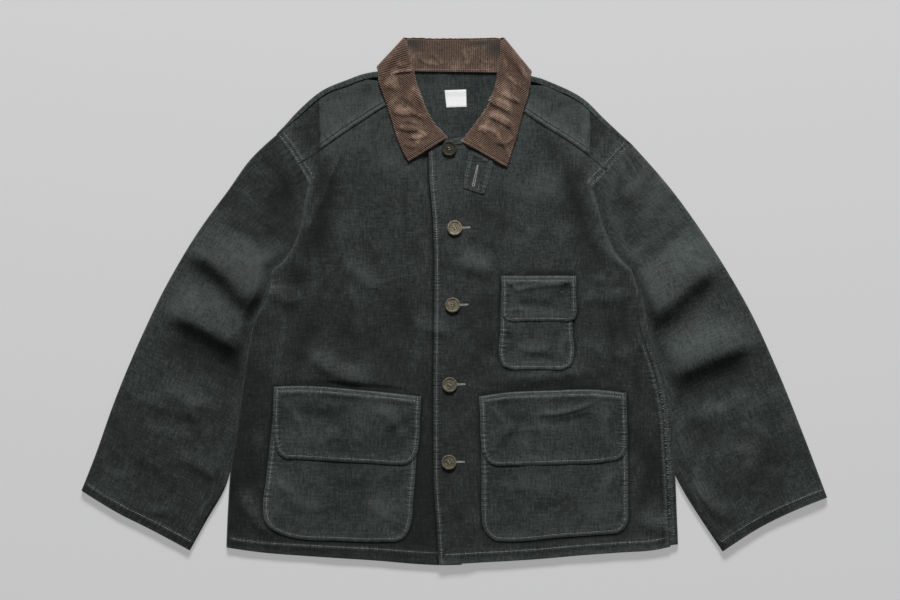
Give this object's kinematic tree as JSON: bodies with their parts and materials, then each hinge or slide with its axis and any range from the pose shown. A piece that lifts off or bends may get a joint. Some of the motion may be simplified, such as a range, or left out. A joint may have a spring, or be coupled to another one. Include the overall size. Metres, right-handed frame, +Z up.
{
  "type": "hunting jacket",
  "caption": "Denim hunting jacket with a corduroy collar, laid flat on its back, buttoned down the front, with a chest pocket and large lower flap pockets.",
  "frame": {"origin": "bottom centre of the bounding box: the surface that the jacket lies on", "axes": "+X toward the wearer's left sleeve, +Y toward the collar, +Z up out of the chest"},
  "size_m": [1.0438, 0.7393, 0.0125],
  "materials": {
    "washed_denim": "washed, matt",
    "brown_corduroy": "fine-wale pile, matt",
    "white_label": "smooth woven",
    "olive_button": "satin"
  },
  "bodies": {
    "root": {"back": "washed_denim", "front_right": "washed_denim", "front_left": "washed_denim", "yoke_right": "washed_denim", "yoke_left": "washed_denim", "sleeve_right": "washed_denim", "sleeve_left": "washed_denim", "collar_stand": "brown_corduroy", "collar_fall": "brown_corduroy", "throat_tab": "washed_denim", "neck_label": "white_label", "chest_pocket": "washed_denim", "chest_flap": "washed_denim", "lower_pocket_right": "washed_denim", "lower_flap_right": "washed_denim", "lower_pocket_left": "washed_denim", "lower_flap_left": "washed_denim", "button_1": "olive_button", "button_2": "olive_button", "button_3": "olive_button", "button_4": "olive_button", "button_5": "olive_button"}
  },
  "joints": []
}
